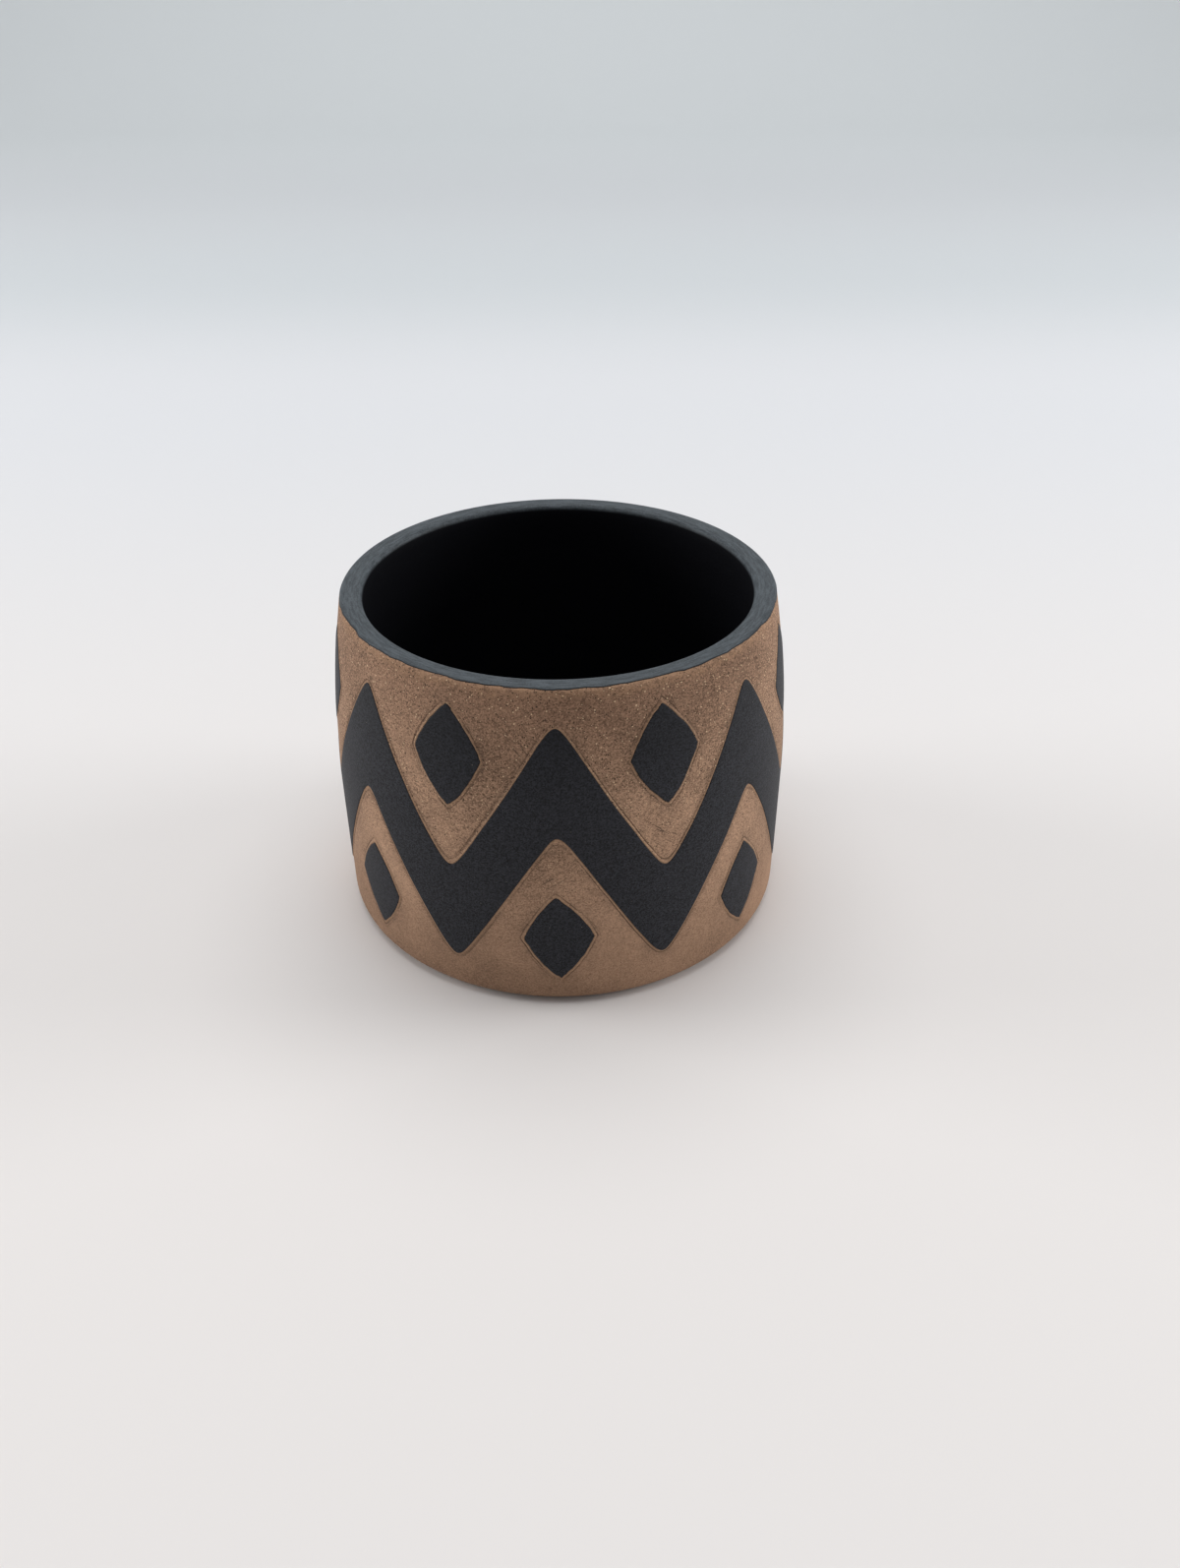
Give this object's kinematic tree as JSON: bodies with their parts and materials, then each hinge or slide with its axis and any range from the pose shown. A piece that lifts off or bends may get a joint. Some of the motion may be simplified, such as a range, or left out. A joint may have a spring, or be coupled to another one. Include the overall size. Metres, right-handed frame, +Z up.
{
  "type": "ceramic tumbler",
  "caption": "Low, wide stoneware tumbler with a straight lower wall that leans in to the rim, a trimmed foot ring, a black lining and inlaid black slip fields outside.",
  "frame": {"origin": "centre of the foot, on the plane that the tumbler stands on", "axes": "+Z up the axis that the tumbler was thrown on, towards the rim; +X and +Y across it, with -Y towards the viewer of the picture"},
  "size_m": [0.09, 0.09, 0.067],
  "materials": {
    "stoneware": "matte",
    "matt_black_glaze": "satin",
    "black_slip": "matte"
  },
  "bodies": {
    "root": {"clay_body": "stoneware", "lining_glaze": "matt_black_glaze", "slip_zigzag_band": "black_slip", "slip_lozenge_upper_1": "black_slip", "slip_lozenge_upper_2": "black_slip", "slip_lozenge_upper_3": "black_slip", "slip_lozenge_upper_4": "black_slip", "slip_lozenge_upper_5": "black_slip", "slip_lozenge_upper_6": "black_slip", "slip_lozenge_upper_7": "black_slip", "slip_lozenge_lower_1": "black_slip", "slip_lozenge_lower_2": "black_slip", "slip_lozenge_lower_3": "black_slip", "slip_lozenge_lower_4": "black_slip", "slip_lozenge_lower_5": "black_slip", "slip_lozenge_lower_6": "black_slip", "slip_lozenge_lower_7": "black_slip"}
  },
  "joints": []
}
